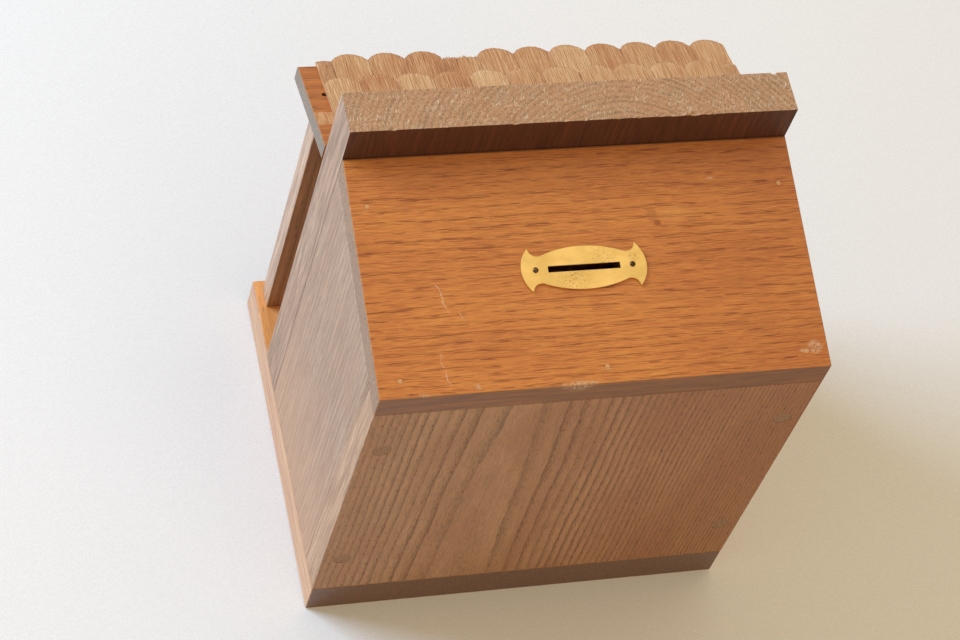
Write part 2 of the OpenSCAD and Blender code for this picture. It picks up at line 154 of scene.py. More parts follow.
# %% Table, lights and sky
def make_material_floor():
    """Plain pale cotton: almost white, with a very faint weave."""
    material, tree, surface = new_material("pale_cotton_floor")
    where = add(tree, "ShaderNodeTexCoord", out="Object")
    weave = add(tree, NOISE, named={"Vector": where, "Scale": 900.0, "Detail": 2.0})
    tone = add(tree, RAMP, weave, stops=[(0.3, "edebea"), (0.7, "f6f5f4")])
    plug(tree, surface, {"Base Color": tone, "Roughness": 0.9})
    return material


floor_mesh = bpy.data.meshes.new("floor")
reach = 3.0
floor_mesh.from_pydata([(-reach, -reach, 0), (reach, -reach, 0), (reach, reach, 0), (-reach, reach, 0)],
                       [], [(0, 1, 2, 3)])
floor_mesh.transform(Matrix.Translation((0, 0, low.z - 0.0002)))
floor_mesh.materials.append(make_material_floor())
floor = put("floor", floor_mesh)


def area_light(name, place, size, watts, chart):
    """A square soft light that faces the middle of the object."""
    lamp = bpy.data.lights.new(name, "AREA")
    lamp.size, lamp.energy, lamp.color = size, watts, colour(chart)[:3]
    holder = put(name, lamp)
    facing = (middle - Vector(place)).to_track_quat("-Z", "Y").to_matrix().to_4x4()
    holder.matrix_world = Matrix.Translation(place) @ facing


area_light("window", (-2.2, 1.3, 1.7), 1.5, 98.0, "c5dfff")
area_light("ceiling", (0.5, 0.6, 2.4), 1.6, 5.5, "ffead5")
area_light("room_bounce", (0.9, -2.2, 1.4), 1.8, 7.5, "ffe2c4")
world = bpy.data.worlds.new("pale_room")
bpy.context.scene.world = world
world.use_nodes = True
world.node_tree.nodes["Background"].inputs["Color"].default_value = colour("ffedc7")
world.node_tree.nodes["Background"].inputs["Strength"].default_value = 0.56
bpy.context.scene.view_settings.view_transform = "Standard"
print("three soft lights and a pale sky")

# %% [markdown]
# ## How wood is painted by numbers
# Every board is the same kind of timber, an open-grained hardwood such as ash, stained and waxed or
# varnished. Its look has four layers, and each has a real size: growth rings a few millimetres wide,
# pores like short dark dashes, fine fibres, and cloudy changes of tone. The rings are worked out as in a
# log: they are circles round a heart line that runs along the board, so one sum gives arches on a wide
# face, straight lines on a narrow one and arcs on the end. One function builds those layers. A board only
# says where its heart was and how its timber was finished.

# %% The layers of a board
WAVES = (1 / 0.022, 1 / 0.022, 1 / 0.0085)


def in_mm(tree, tilt=0.0):
    """A point's place on the object in mm, turned back by the tilt of a sloping board."""
    where = add(tree, "ShaderNodeTexCoord", out="Object")
    return add(tree, "ShaderNodeMapping", where, named={"Scale": (1000,) * 3, "Rotation": (tilt, 0, 0)})


def streaks(tree, parts, sizes, seed, detail=1.0, roughness=0.5):
    """Noise stretched along the grain. Sizes are the streak's width, depth and length in mm."""
    scaled = [add(tree, "MULTIPLY", part, 1 / size) for part, size in zip(parts, sizes)]
    return add(tree, NOISE, named={"Vector": add(tree, COMBINE, *scaled), "W": seed, "Scale": 1.0,
                                   "Detail": detail, "Roughness": roughness}, noise_dimensions="4D")


def log_pattern(tree, along, heart, ring, power, lean, start, wander, tilt, seed):
    """Where a point lies in its log: how far across, through and along it in mm, and its ring number."""
    where = in_mm(tree, tilt)
    parts = [add(tree, SEPARATE, where, out=i) for i in range(3)]
    across, through, length = {"X": (1, 2, 0), "Y": (0, 2, 1), "Z": (0, 1, 2)}[along]
    across, through, length = parts[across], parts[through], parts[length]
    sway = streaks(tree, (across, through, length), WAVES, seed, 3.0, 0.45)
    sway = add(tree, "MULTIPLY", add(tree, "SUBTRACT", sway, 0.5), 2 * wander)
    aside = add(tree, "SUBTRACT", across, heart[0])
    below = add(tree, "SUBTRACT", through, heart[1])
    radius = add(tree, "ADD", add(tree, "MULTIPLY", aside, aside), add(tree, "MULTIPLY", below, below))
    radius = add(tree, "ADD", add(tree, "POWER", radius, 0.5), sway)
    radius = add(tree, "MULTIPLY", add(tree, "MAXIMUM", radius, 1.0), 1 / ring)
    number = add(tree, "ADD", add(tree, "POWER", radius, power), start)
    number = add(tree, "MULTIPLY_ADD", length, lean, number)
    return (across, through, length), number


def fade(tree, value, start, end, low=0.0, high=1.0):
    """Goes smoothly from low to high as the value goes from start to end."""
    return add(tree, RANGE, value, start, end, low, high, interpolation_type="SMOOTHSTEP")


def blend(tree, amount, first, second, how="MIX"):
    """Lays the second colour over the first. Colours are chart values or other nodes' outputs."""
    first, second = (colour(c) if isinstance(c, str) else c for c in (first, second))
    return add(tree, MIX, named={0: amount, 6: first, 7: second}, out=2, data_type="RGBA", blend_type=how)


def shade(tree, amount, tone, pattern, dark="383838", light="c8c8c8", how="OVERLAY"):
    """Makes a colour darker where a pattern is low and lighter where it is high."""
    greys = add(tree, RAMP, pattern, stops=[(0.3, dark), (0.7, light)])
    return blend(tree, amount, tone, greys, how)


def timber(name, along, heart, ring, main, tones, cloud, pore, worn_tone, faces=None, gloss=0.55,
           coat=0.0, coat_roughness=0.3, pore_size=(0.7, 0.7, 8.0), pore_share=(0.58, 0.66),
           pore_in_rings=0.7, pore_depth=0.8, power=1.0, lean=0.0, start=0.0, wander=1.5, tilt=0.0,
           seed=0.0, fibre=0.2, bundle=0.25, ring_strength=1.0, extra=None):
    """A board's finish. Main is its usual tone, and tones are a ring's colours from start to end.
    Faces gives the tone of marked faces, such as the end faces painted paler and greyer as painted window
    light."""
    material, tree, surface = new_material(name)
    parts, number = log_pattern(tree, along, heart, ring, power, lean, start, wander, tilt, seed)
    frayed = streaks(tree, parts, (1.2, 1.2, 12.0), seed + 3, 4.0, 0.65)
    number = add(tree, "MULTIPLY_ADD", frayed, 0.4, number)
    luck = add(tree, "ShaderNodeTexWhiteNoise", named={"W": add(tree, "FLOOR", number)},
               noise_dimensions="1D")
    phase = add(tree, "FRACT", number)
    amount = fade(tree, luck, 0.0, 1.0, 0.5 * ring_strength, ring_strength)
    wood = blend(tree, amount, main, add(tree, RAMP, phase, stops=tones))
    clouds = streaks(tree, parts, (30.0, 30.0, 80.0), seed + 5, 3.0, 0.55)
    wood = blend(tree, fade(tree, clouds, 0.36, 0.66, 0.0, 0.55), wood, cloud)
    bundles = streaks(tree, parts, (1.7, 1.7, 32.0), seed + 6, 3.0, 0.6)
    wood = shade(tree, bundle, wood, bundles)
    fibres = streaks(tree, parts, (0.6, 0.6, 7.0), seed + 7, 4.0, 0.75)
    wood = shade(tree, fibre, wood, fibres)
    pores = streaks(tree, parts, pore_size, seed + 11, 0.0, 0.5)
    pores = add(tree, "ADD", fade(tree, luck, 0.0, 1.0, -0.035, 0.02), pores)
    band = fade(tree, phase, 0.55, 0.1, 1.0 - pore_in_rings, 1.0)
    pores = add(tree, "MULTIPLY", fade(tree, pores, *pore_share), band)
    wood = blend(tree, add(tree, "MULTIPLY", pores, pore_depth), wood, pore)
    # Marked faces take their own tone here. On the end faces this is painted window light.
    for mark, tone in (faces or {}).items():
        tint = tuple(b / a for a, b in zip(colour(main), colour(tone)))
        marked = add(tree, "ShaderNodeAttribute", out="Fac", attribute_name=mark)
        tinted = blend(tree, 0.5, blend(tree, 1.0, wood, tint, "MULTIPLY"), tone)
        wood = blend(tree, marked, wood, shade(tree, 0.55, tinted, bundles))
    speckle = streaks(tree, parts, (0.7, 0.7, 0.7), seed + 13, 2.0, 0.6)
    end = add(tree, "ShaderNodeAttribute", out="Fac", attribute_name="end_grain")
    wood = shade(tree, add(tree, "MULTIPLY", end, 0.45), wood, speckle)
    worn = add(tree, "ShaderNodeAttribute", out="Fac", attribute_name="worn")
    rubbed = streaks(tree, parts, (3.0, 3.0, 9.0), seed + 17, 3.0, 0.6)
    worn = add(tree, "MULTIPLY", worn, fade(tree, rubbed, 0.38, 0.62, 0.1, 0.8))
    wood = blend(tree, worn, wood, worn_tone)
    height = add(tree, "MULTIPLY_ADD", pores, -1.0, fibres)
    height = add(tree, "MULTIPLY_ADD", bundles, 0.6, height)
    rough = fade(tree, fibres, 0.3, 0.7, gloss - 0.07, gloss + 0.07)
    if extra:
        wood, height, rough = extra(tree, parts, wood, height, rough)
    normal = add(tree, "ShaderNodeBump", named={"Strength": 0.35, "Distance": 0.00025, "Height": height})
    plug(tree, surface, {"Base Color": wood, "Roughness": rough, "Normal": normal, "Coat Weight": coat,
                         "Coat Roughness": coat_roughness})
    return material


print("the wood layers are ready")

# %% [markdown]
# ## The finishes of the boards
# All the boards are open-grained ash-like hardwood, sawn, planed and stained, but they have aged
# differently. The lid is varnished and orange, the front is waxed and duller, the sides are paler and
# greyer, the back board is dark, and the canopy keeps its varnish because nothing touches it. The end
# faces of most boards carry painted window light, a paler and greyer tone, and the front panel has painted
# shade towards its right end. The lid also has its own marks: a small knot where the grain turns,
# scratches, and pale chips along its front edge. It also has painted shade towards its right end and in
# the joint at its back.

# %% Marks and painted shade on the lid
LID_FRONT = -51.6


def spot(tree, parts, place, size, edge=0.35):
    """1 inside an oval spot on the lid and 0 outside it. Sizes are in mm, along and across, and a place
    is counted from the middle of the lid's front edge."""
    across = add(tree, "MULTIPLY", add(tree, "SUBTRACT", parts[0], LID_FRONT + place[1]), 1 / size[1])
    along = add(tree, "MULTIPLY", add(tree, "SUBTRACT", parts[2], place[0]), 1 / size[0])
    distance = add(tree, "ShaderNodeVectorMath", add(tree, COMBINE, across, along), out=1, operation="LENGTH")
    ragged = streaks(tree, parts, (0.9, 0.9, 1.2), 31.0, 3.0, 0.7)
    distance = add(tree, "MULTIPLY_ADD", ragged, 0.8, distance)
    return fade(tree, distance, 1.4 + edge, 1.4 - edge)


def lid_marks_and_shade(tree, parts, wood, height, rough):
    """Painted shade at the end away from the window and in the joint at the back, then the knot, chips and
    scratches.
    """
    # Painted shade: the lid grows darker towards its right end, away from the window.
    wood = blend(tree, fade(tree, parts[2], 0, 110), wood, blend(tree, 1.0, wood, "f3eded", "MULTIPLY"))
    # Painted shade: a dark line along the lid's back edge, in the gap under the back board.
    wood = blend(tree, fade(tree, parts[0], LID_FRONT + 126.8, LID_FRONT + 128.4, 0.0, 0.85), wood, "2b170c")
    for place, size, amount, tone in [((51, 89), (9, 4), 0.3, "eba354"),
                                      ((40.5, 84), (1.9, 1.6), 0.8, "93400f"),
                                      ((38, 88.5), (2.6, 4.5), 0.4, "a3602a")]:
        knot = add(tree, "MULTIPLY", spot(tree, parts, place, size, 0.5), amount)
        wood = blend(tree, knot, wood, tone)
    for place, size in [((-16, 0.6), (9.0, 1.5)), ((113, 11), (3.8, 3.4)), ((-68.6, 3.2), (1.6, 1.4)),
                        ((0.6, 8), (2.0, 0.9)), ((-97, 0.8), (2.4, 0.9)), ((74, 107), (2.6, 0.7)),
                        ((106, 9.5), (1.8, 1.0))]:
        crumbs = fade(tree, streaks(tree, parts, (1.1, 1.1, 1.3), 37.0, 2.0, 0.6), 0.42, 0.56)
        chip = add(tree, "MULTIPLY", spot(tree, parts, place, size), crumbs)
        wood = blend(tree, add(tree, "MULTIPLY", chip, 0.62), wood, "d9b894")
        rough = add(tree, "MULTIPLY_ADD", chip, 0.25, rough)
    for start, end, width in [((-82, 59), (-77.5, 42), 0.5), ((-72, 43), (-70.5, 38), 0.4),
                              ((-86, 22), (-82.5, 2), 0.35)]:
        size = math.dist(start, end)
        run = [(b - a) / size for a, b in zip(start, end)]
        along = add(tree, "SUBTRACT", parts[2], start[0])
        across = add(tree, "SUBTRACT", parts[0], LID_FRONT + start[1])
        ahead = add(tree, "MULTIPLY_ADD", across, run[1], add(tree, "MULTIPLY", along, run[0]))
        aside = add(tree, "MULTIPLY_ADD", across, run[0], add(tree, "MULTIPLY", along, -run[1]))
        wobble = streaks(tree, parts, (5.0, 5.0, 5.0), 41.0, 1.0)
        aside = add(tree, "MULTIPLY_ADD", wobble, 5.0, aside)
        aside = add(tree, "ABSOLUTE", add(tree, "SUBTRACT", aside, 2.5))
        line = add(tree, "MULTIPLY", fade(tree, aside, width, 0.1), fade(tree, ahead, -1.0, 1.5))
        line = add(tree, "MULTIPLY", line, fade(tree, ahead, size + 1, size - 3))
        broken = fade(tree, streaks(tree, parts, (0.8, 0.8, 0.8), 43.0, 2.0), 0.4, 0.62)
        line = add(tree, "MULTIPLY", line, broken)
        wood = blend(tree, add(tree, "MULTIPLY", line, 0.8), wood, "ead5b9")
    return wood, height, rough


print("the lid has a knot, seven chips and three scratches")

# %% Board finishes
def bare_strip(tree, parts, wood, height, rough):
    """A strip at the canopy's left end where the varnish came away with a strip of wood."""
    torn_edge = streaks(tree, parts, (1.5, 1.5, 2.0), 45.0, 3.0, 0.6)
    torn_edge = add(tree, "MULTIPLY_ADD", torn_edge, 1.6, parts[0])
    strip = add(tree, "MULTIPLY", fade(tree, torn_edge, 0.1, 0.6), fade(tree, torn_edge, 11.0, 10.5))
    for edges in ((-98, -100), (-119.9, -119.4)):
        strip = add(tree, "MULTIPLY", strip, fade(tree, parts[2], *edges))
    lines = streaks(tree, parts, (9.0, 9.0, 0.9), 47.0, 2.0)
    sawn = blend(tree, fade(tree, lines, 0.4, 0.6), "d7a577", "b9824f")
    wood = blend(tree, add(tree, "MULTIPLY", strip, 0.8), wood, sawn)
    return wood, height, add(tree, "MULTIPLY_ADD", strip, 0.2, rough)


def painted_window_falloff(tree, parts, wood, height, rough):
    """Painted window light and shade: the front panel is painted paler at the end near the window and darker
    at the other end.
    """
    # Painted shade: the right end, away from the window, is multiplied darker.
    darker = blend(tree, 1.0, wood, "f0dccc", "MULTIPLY")
    return blend(tree, fade(tree, parts[0], -110, 110), wood, darker), height, rough


def warm_foot(tree, parts, wood, height, rough):
    """The side panel is warmer and a little darker low down."""
    return blend(tree, fade(tree, parts[2], 150, 20, 0.0, 0.3), wood, "d9a680"), height, rough


SLOPE = math.radians(11.5)
FALL = math.radians(17)
finishes = {}
# The marked end faces of these boards carry painted window light: a paler, greyer tone.
finishes["front"] = timber(
    "waxed_ash_front", "Z", (-39.5, -92), 20.0, "c2956e",
    [(0.0, "623e28"), (0.06, "7f5736"), (0.24, "b4885d"), (0.6, "ca9d77"), (0.95, "c4966f"), (1.0, "623e28")],
    "b27b54", "62402b", "926a4c", faces={"bleached": "cfab8a"}, gloss=0.6, power=1.8, lean=0.0026,
    start=-0.19, wander=3.4, seed=1.0, ring_strength=0.75, pore_size=(0.5, 0.5, 4.0),
    pore_share=(0.6, 0.65), fibre=0.4, bundle=0.15, extra=painted_window_falloff)
finishes["side"] = timber(
    "bleached_ash_side", "Z", (-110, 420), 4.4, "c3a287",
    [(0.0, "a6856c"), (0.15, "b19176"), (0.45, "c5a58a"), (0.85, "c9aa90"), (1.0, "a6856c")],
    "c19a7d", "93735d", "d5bba1", wander=2.2, seed=2.0, fibre=0.45, bundle=0.35,
    ring_strength=0.75, extra=warm_foot)
finishes["lid"] = timber(
    "varnished_ash_lid", "X", (160, 60), 3.1, "df9440",
    [(0.0, "a86729"), (0.1, "c07833"), (0.4, "df9542"), (0.85, "e59b48"), (1.0, "b6712f")],
    "d17c33", "8e4210", "b67e4a", faces={"bleached": "b48a60", "plain": "985d1b"}, gloss=0.42, coat=0.25,
    coat_roughness=0.35, wander=3.0, seed=3.0, tilt=-SLOPE, pore_size=(0.3, 0.3, 9.0),
    pore_share=(0.57, 0.6), pore_in_rings=0.6, pore_depth=0.95, ring_strength=0.3, fibre=0.45, bundle=0.2,
    extra=lid_marks_and_shade)
finishes["base"] = timber(
    "varnished_ash_base", "Y", (-60, -160), 4.2, "ffc676",
    [(0.0, "e6a65c"), (0.2, "f5b466"), (0.6, "ffc97a"), (1.0, "e6a65c")],
    "f4ae5e", "946339", "a8753f", faces={"bleached": "dab381", "plain": "805029"}, gloss=0.4, coat=0.4,
    coat_roughness=0.2, wander=2.5, seed=5.0, pore_depth=0.45, pore_size=(0.4, 0.4, 7.0))
finishes["rear"] = timber(
    "stained_ash_rear", "Z", (60, 40), 4.6, "c18b64",
    [(0.0, "966645"), (0.2, "a97552"), (0.6, "c18c64"), (1.0, "966645")],
    "9a613e", "684836", "d0a580", faces={"bleached": "d8b99d"}, gloss=0.5, coat=0.2, wander=3.0, seed=6.0)
finishes["canopy"] = timber(
    "varnished_ash_canopy", "X", (90, 150), 4.8, "ca783b",
    [(0.0, "a75e2a"), (0.2, "b86a32"), (0.6, "cc7b3e"), (1.0, "a75e2a")],
    "b7632a", "79431f", "a97445", faces={"bleached": "977f6a"}, gloss=0.4, coat=0.3, coat_roughness=0.3,
    wander=3.0, seed=7.0, tilt=FALL, extra=bare_strip)
print(len(finishes), "board finishes")

# %% [markdown]
# ## Boards with eased edges
# A joiner takes the sharp corner off every board with a pass of sandpaper, and handling rubs it paler. A
# bevel modifier on the loose triangles of a measured part would round every little crack in its mesh, so
# the mesh is copied, its doubles are merged and its flat faces joined, and only long edges are bevelled.
# The new faces are marked as worn, and faces across the grain are marked as end grain, for the finish to
# read.

# %% Board maker
def solid_copy(node):
    """A clean copy of a measured part as a bmesh: doubles merged and flat faces joined."""
    source = nodes[node].data
    bm = bmesh.new()
    points = [bm.verts.new(v.co) for v in source.vertices]
    for face in source.polygons:
        bm.faces.new([points[i] for i in face.vertices])
    bmesh.ops.remove_doubles(bm, verts=bm.verts, dist=1e-6)
    bmesh.ops.dissolve_limit(bm, angle_limit=math.radians(0.6), verts=bm.verts, edges=bm.edges)
    return bm


def ease_edges(bm, size, shortest, sharper=0.5):
    """Bevels the sharp edges that are long enough, and marks the new faces as worn."""
    worn = bm.faces.layers.float.new("worn")
    edges = [edge for edge in bm.edges if edge.is_manifold and edge.calc_length() > shortest
             and edge.calc_face_angle() > sharper]
    made = bmesh.ops.bevel(bm, geom=edges, offset=size, segments=2, profile=0.5, affect="EDGES",
                           clamp_overlap=True)
    for face in made["faces"]:
        face[worn] = 1.0
    return len(edges)


def set_piece(node, mesh, body):
    """Puts a mesh into the scene as the piece that rides on a body and stands for a measured part."""
    mesh.name = node + "_piece"
    piece = put(node + "_piece", mesh)
    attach(piece, body)
    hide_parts(node)


def finish_piece(node, bm, material, body):
    """Turns a bmesh of one material into a piece."""
    mesh = bpy.data.meshes.new(node + "_piece")
    bm.to_mesh(mesh)
    bm.free()
    mesh.materials.append(material)
    set_piece(node, mesh, body)


def mark_faces(bm, **marks):
    """Marks the faces that face one of the given ways, such as "+X -X", for the finish to read."""
    for mark, ways in marks.items():
        layer = bm.faces.layers.float.new(mark)
        for face in bm.faces:
            facing = [face.normal["XYZ".index(way[1])] * (1 if way[0] == "+" else -1) for way in ways.split()]
            face[layer] = float(max(facing) > 0.8)


def board(node, finish, along, body="box", slot=None, ease=0.5, **marks):
    """A planed board with eased edges, which stands for the measured part of the same name."""
    bm = solid_copy(node)
    eased = ease_edges(bm, ease * MM, 12 * MM)
    mark_faces(bm, end_grain=f"+{along} -{along}", **marks)
    finish_piece(node, bm, finishes[finish], body)
    print(node, eased, "edges eased")


# The end faces, which carry painted window light.
ENDS = "+X -X"
board("base_board", "base", "Y", slot="base_wood", ease=0.6, bleached=ENDS, plain="-Y +Y")
board("front_panel", "front", "Z", slot="front_wood", bleached=ENDS)
board("left_side_panel", "side", "Z", slot="side_wood", ease=0.35)
board("right_side_panel", "side", "Z", slot="side_wood", ease=0.35)
board("side_door", "side", "Z", "door", "side_wood", ease=0.5)
board("slot_lid", "lid", "X", slot="lid_wood", ease=0.45, bleached=ENDS, plain="-Y")
board("rear_board", "rear", "Z", slot="rear_wood", bleached=ENDS)
board("canopy_board", "canopy", "X", slot="canopy_wood", bleached=ENDS)

# %% [markdown]
# ## The rough top of the back board
# The back board was cut across the grain with a coarse saw and never planed.
# Its top is pitted, pale torn fibres stand up on it, and the front corner has lost small chips.
# That shape is real relief, so it is made in the mesh: the flat top is swapped for a fine grid,
# whose points sink by a little noise. Its edge points are shared with the sides, so the board stays closed.

# %% Back board
def torn_fibres(tree, parts, wood, height, rough):
    """Pale torn fibres on the sawn top, drawn along short curved strokes."""
    bent = streaks(tree, (parts[0], parts[1], parts[1]), (9.0, 9.0, 9.0), 51.0, 2.0)
    bent = add(tree, "MULTIPLY_ADD", bent, 3.0, parts[0])
    families = []
    for slant, seed in ((-1.3, 53.0), (-0.2, 54.0)):
        skew = add(tree, "MULTIPLY_ADD", parts[1], slant, bent)
        families.append(streaks(tree, (skew, parts[1], parts[2]), (0.6, 4.0, 3.0), seed, 3.0, 0.7))
    torn = fade(tree, add(tree, "MAXIMUM", *families), 0.56, 0.65)
    patches = fade(tree, streaks(tree, parts, (13.0, 9.0, 20.0), 57.0, 2.0), 0.38, 0.58, 0.15, 1.0)
    end = add(tree, "ShaderNodeAttribute", out="Fac", attribute_name="end_grain")
    torn = add(tree, "MULTIPLY", torn, patches)
    pale = add(tree, "MULTIPLY", add(tree, "MULTIPLY", torn, end), 0.95)
    height = add(tree, "MULTIPLY_ADD", pale, 2.0, height)
    return blend(tree, pale, wood, "ecd9bd"), height, rough


finishes["back"] = timber(
    "dark_stained_ash_back", "Z", (22, -22), 3.1, "d2a87d",
    [(0.0, "ae845d"), (0.2, "be946b"), (0.6, "d6ae82"), (1.0, "ae845d")],
    "d29e6d", "85654b", "bc9872", faces={"bleached": "c1a087", "stained": "66361e"}, gloss=0.6, wander=2.5,
    seed=4.0, ring_strength=0.7, extra=torn_fibres)


def rough_sawn_board(node, finish, body, cell, depth, seed):
    """A board whose top face is a fine grid with a sawn, chipped surface."""
    bm = solid_copy(node)
    top = max(bm.faces, key=lambda f: f.calc_center_median().z)
    height = top.calc_center_median().z
    (x0, y0, _), (x1, y1, _) = (tuple(corner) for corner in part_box(node))
    columns, rows = round((x1 - x0) / cell), round((y1 - y0) / cell)
    rim = list(top.edges)
    bmesh.ops.delete(bm, geom=[top], context="FACES_ONLY")
    for edge in rim:
        a, b = (v.co for v in edge.verts)
        cuts = (columns if abs(a.x - b.x) > abs(a.y - b.y) else rows) - 1
        bmesh.ops.subdivide_edges(bm, edges=[edge], cuts=cuts)
    grid = [[bm.verts.new((x0 + (x1 - x0) * i / columns, y0 + (y1 - y0) * j / rows, height))
             for i in range(columns + 1)] for j in range(rows + 1)]
    for j in range(rows):
        for i in range(columns):
            bm.faces.new((grid[j][i], grid[j][i + 1], grid[j + 1][i + 1], grid[j + 1][i]))
    bmesh.ops.remove_doubles(bm, verts=bm.verts, dist=cell * 0.01)
    draw = random.Random(seed)
    chips = [(draw.uniform(x0, x1), y0, draw.uniform(0.4, 2.2) * MM, draw.uniform(0.2, 0.9) * MM)
             for _ in range(16)]
    chips += [(x0 + 173 * MM, y0, 5 * MM, 0.7 * MM), (x0 + 183 * MM, y0, 3 * MM, 1.1 * MM),
              (x1 - 7.2 * MM, y1, 1.7 * MM, 1.6 * MM)]
    for v in bm.verts:
        if abs(v.co.z - height) > 1e-6:
            continue
        fine, coarse = (noise.noise(Vector((v.co.x * rate, v.co.y * rate, seed + shift))) * 0.5 + 0.5
                        for rate, shift in ((900, 0), (220, 9)))
        sink = depth * (0.55 * fine + 0.45 * coarse)
        for cx, cy, radius, drop in chips:
            away = math.hypot(v.co.x - cx, (v.co.y - cy) * 1.3) / radius
            if away < 1:
                sink = max(sink, drop * (1 - away ** 3))
        v.co.z -= sink
    # The end faces carry painted window light. The front face is stained dark.
    mark_faces(bm, end_grain="+Z -Z", bleached="+X -X", stained="-Y")
    print(node, columns * rows, "cells on its sawn top")
    finish_piece(node, bm, finishes[finish], body)


rough_sawn_board("back_board", "back", "box", 0.8 * MM, 0.32 * MM, 6)

# %% [markdown]
# ## Metals
# The slot plate and the hinges are brass sheet. Sheet brass comes from the rolls with a fine straight
# grain, it is then polished, and air and fingers leave small brown specks where the lacquer has gone. The
# lock is nickel-plated brass, bright but softly brushed round its axis, and the screws and nails are
# steel. Metals keep the default index of refraction, and their colour is that of their reflection.

# %% Metal finishes
def metal(name, clean, dull, speck, roughness, seed, line=(0.25, 18.0), specks=(0.62, 0.7), patches=()):
    """A metal: fine rolled lines, cloudy dulling, and dark specks gathered in patches given in mm."""
    material, tree, surface = new_material(name)
    where = in_mm(tree)
    parts = [add(tree, SEPARATE, where, out=i) for i in (1, 2, 0)]
    lines = streaks(tree, parts, (line[0], line[0], line[1]), seed, 2.0, 0.6)
    clouds = streaks(tree, parts, (9.0, 9.0, 14.0), seed + 2, 3.0, 0.6)
    tone = blend(tree, fade(tree, clouds, 0.35, 0.7), clean, dull)
    tone = shade(tree, 0.25, tone, lines, "555555", "aaaaaa")
    dots = streaks(tree, parts, (0.55, 0.55, 0.7), seed + 4, 3.0, 0.7)
    dots = fade(tree, dots, *specks)
    near = 0.0 if patches else 1.0
    for centre, radius in patches:
        away = add(tree, "ShaderNodeVectorMath", where, tuple(centre), out=1, operation="DISTANCE")
        near = add(tree, "MAXIMUM", near, fade(tree, away, radius, radius * 0.3))
    dots = add(tree, "MULTIPLY", dots, near)
    tone = blend(tree, dots, tone, speck)
    rough = fade(tree, clouds, 0.3, 0.7, roughness - 0.06, roughness + 0.08)
    rough = add(tree, "MULTIPLY_ADD", dots, 0.35, rough)
    normal = add(tree, "ShaderNodeBump", named={"Strength": 0.12, "Distance": 0.0001, "Height": lines})
    plug(tree, surface, {"Base Color": tone, "Roughness": rough, "Metallic": 1.0, "Normal": normal})
    return material


plate_low, plate_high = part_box("slot_plate")
plate_middle = (plate_low + plate_high) / 2 / MM
tarnish = [((11, 7, 1.5), 9), ((-8, -7, -1.5), 11), ((27, 4, 0), 4)]
brass_plate = metal("polished_brass_plate", "f6d990", "f0d184", "734c2e", 0.38, 1.0, specks=(0.56, 0.64),
                    patches=[(plate_middle + Vector(offset), radius) for offset, radius in tarnish])
brass_hinge = metal("satin_brass_hinge", "d3ab58", "b98f45", "5e4526", 0.34, 2.0, specks=(0.66, 0.74))
nickel = metal("nickel_plate_lock", "cfccc4", "b9b6ae", "6b675f", 0.26, 3.0, (0.2, 2.0), (0.7, 0.78))
steel = metal("zinc_plated_steel", "b3b1ac", "8f8d88", "4b4640", 0.4, 4.0, (0.3, 1.0), (0.66, 0.76))
bronze_pin = metal("darkened_bronze_pin", "7d5f47", "4f3b2e", "1f1712", 0.3, 5.0, (0.3, 1.0))
rust_nail = metal("rusty_iron_nail", "4a3a30", "33261f", "5a3019", 0.6, 6.0, (0.3, 1.0))
print("six metals")

# %% [markdown]
# ## Sheet-metal and lock pieces
# The plate, the hinge leaves and the lock are stamped, turned or cast, and every stamped edge is slightly
# rounded. A bright line along an edge is what tells the eye that a thing is metal, so each gets a small
# bevel. Their measured shapes are right already, so each is a clean copy with its edges rounded.

# %% Metal pieces
def metal_piece(node, material, body="box", ease=0.2, shortest=0.9):
    """A metal part with rounded edges, which stands for the measured part of the same name."""
    bm = solid_copy(node)
    eased = ease_edges(bm, ease * MM, shortest * MM, 0.6)
    print(node, eased, "edges rounded")
    finish_piece(node, bm, material, body)


metal_piece("slot_plate", brass_plate, ease=0.22)
metal_piece("hinge_frame_leaves", brass_hinge, ease=0.15, shortest=2.0)
metal_piece("hinge_door_leaves", brass_hinge, "door", ease=0.15, shortest=2.0)
metal_piece("lock_nut", nickel, "door", ease=0.3, shortest=3.0)
metal_piece("lock_cam", steel, "lock_core", ease=0.2, shortest=4.0)

# %% [markdown]
# ## Screws, nails and plugs
# The box is held by screws, nails and wooden plugs, and each kind repeats many times. Geometry Nodes suit
# them: one head is built from a few sizes, set on every place, turned at random about its axis as a hand
# leaves it, and made real at the end. The places come from the measured parts: a fixing's head is where
# its part reaches furthest along the way it faces. A screw is a cone and a shank with a sawn slot. A nail
# or a plug is a disc with a rounded rim or a dome.

# %% Places of the fixings
def head_places(node, facing):
    """The middle of each fixing's head in a measured part, for fixings that all face the same way."""
    bm = solid_copy(node)
    places, left = [], set(bm.verts)
    while left:
        island, front = set(), [left.pop()]
        while front:
            v = front.pop()
            island.add(v)
            for e in v.link_edges:
                w = e.other_vert(v)
                if w in left:
                    left.remove(w)
                    front.append(w)
        reach = max(v.co.dot(facing) for v in island)
        heads = [v.co for v in island if v.co.dot(facing) > reach - 0.02 * MM]
        places.append(sum(heads, Vector()) / len(heads))
    bm.free()
    return sorted(places, key=lambda p: tuple(round(c, 5) for c in p))


def face_direction(node, near):
    """The direction of a board's widest face on the side that is asked for."""
    polygons = [p for p in nodes[node].data.polygons if p.normal.dot(near) > 0.85]
    return sum((p.normal * p.area for p in polygons), Vector()).normalized()


UP = Vector((0, 0, 1))
lid_up = face_direction("slot_lid", Vector((0, -0.2, 0.98)))
canopy_up = face_direction("canopy_board", Vector((0, 0.3, 0.96)))
print("the lid leans", round(math.degrees(lid_up.angle(UP)), 2), "and the canopy",
      round(math.degrees(canopy_up.angle(UP)), 2), "degrees")

